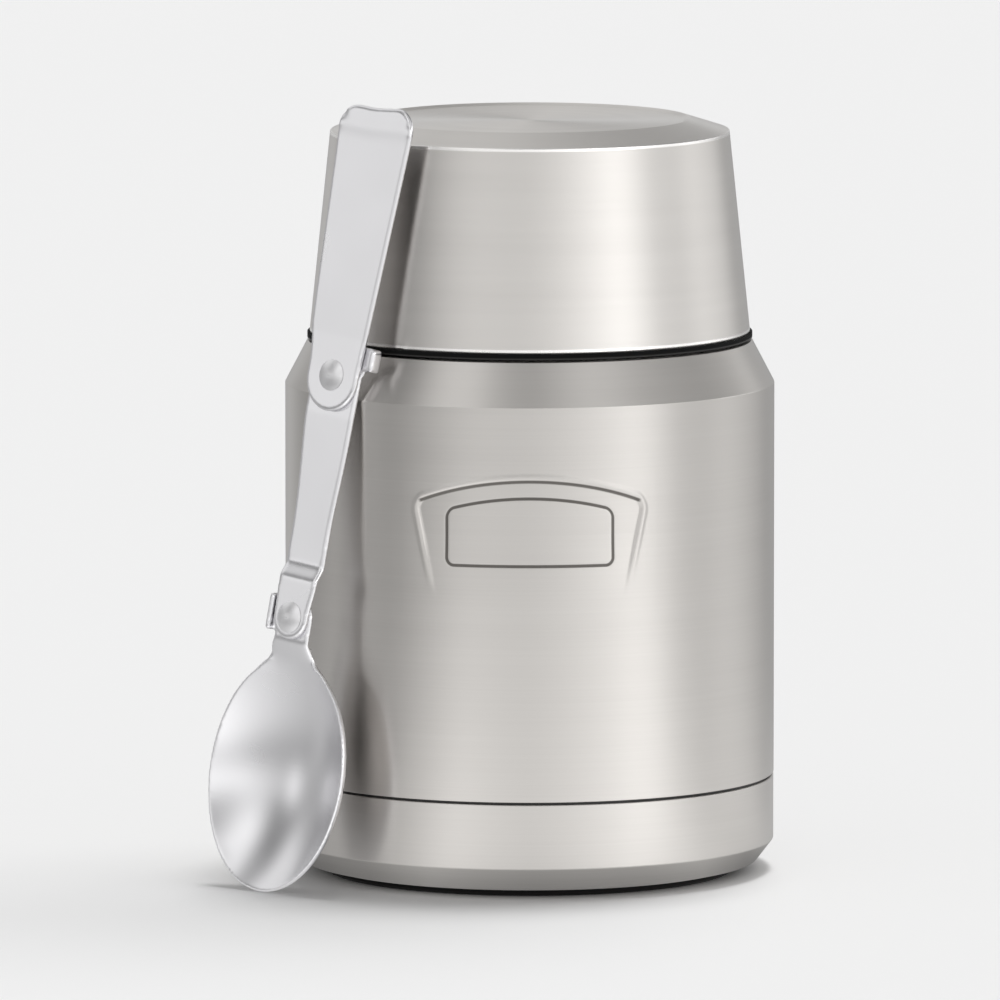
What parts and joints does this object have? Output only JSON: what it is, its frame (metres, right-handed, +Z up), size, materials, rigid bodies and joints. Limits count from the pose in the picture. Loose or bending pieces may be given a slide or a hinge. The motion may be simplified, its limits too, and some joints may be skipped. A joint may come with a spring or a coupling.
{
  "type": "insulated food jar",
  "caption": "Double-walled steel food jar with a screw stopper and a cup lid, and a folding spoon leaning against its side.",
  "frame": {"origin": "centre of the base pad's underside, on the floor", "axes": "+Z up along the jar's axis, +X to the right and -Y towards the viewer, with the spoon at the front left"},
  "size_m": [0.1085, 0.094, 0.1501],
  "materials": {
    "steel": "fine brushed stainless steel",
    "liner_steel": "smooth drawn stainless steel",
    "spoon_steel": "satin stainless steel with bright edges",
    "foil": "thin bright foil",
    "black_plastic": "moulded polypropylene",
    "foam": "closed-cell insulating foam",
    "gasket": "translucent silicone rubber",
    "pad": "ribbed soft pad"
  },
  "bodies": {
    "jar": {"outer_shell": "steel", "base_cup": "steel", "base_pad": "pad", "inner_liner": "liner_steel", "liner_bottom": "liner_steel", "foil_wrap": "foil", "bottom_plate": "liner_steel", "seal_disc": "liner_steel", "getter_cup": "liner_steel", "getter": "liner_steel"},
    "stopper": {"stopper_cap": "black_plastic", "stopper_plug": "black_plastic", "stopper_foam": "foam", "stopper_gasket": "gasket"},
    "lid_cup": {"cup_shell": "steel", "cup_lining": "black_plastic"},
    "spoon_base": {"spoon_bowl": "spoon_steel", "lower_rivet": "spoon_steel"},
    "spoon_middle": {"spoon_link": "spoon_steel", "upper_rivet": "spoon_steel"},
    "spoon_top": {"spoon_handle": "spoon_steel"}
  },
  "joints": [
    {"name": "stopper_lift", "type": "slide", "parent": "jar", "child": "stopper", "axis": [0, 0, 1], "range_m": [0, 0.016]},
    {"name": "lid_lift", "type": "slide", "parent": "stopper", "child": "lid_cup", "axis": [0, 0, 1], "range_m": [0, 0.016]},
    {"name": "spoon_lift", "type": "slide", "parent": "jar", "child": "spoon_base", "axis": [0, 0, 1], "range_m": [0, 0.12]},
    {"name": "link_fold", "type": "hinge", "parent": "spoon_base", "child": "spoon_middle", "pos_m": [-0.04424, -0.03241, 0.05251], "axis": [0.6518, 0.7446, -0.1437], "range_deg": [0, 180]},
    {"name": "handle_fold", "type": "hinge", "parent": "spoon_middle", "child": "spoon_top", "pos_m": [-0.03618, -0.03023, 0.09859], "axis": [-0.6459, -0.7428, 0.1763], "range_deg": [0, 180]}
  ]
}
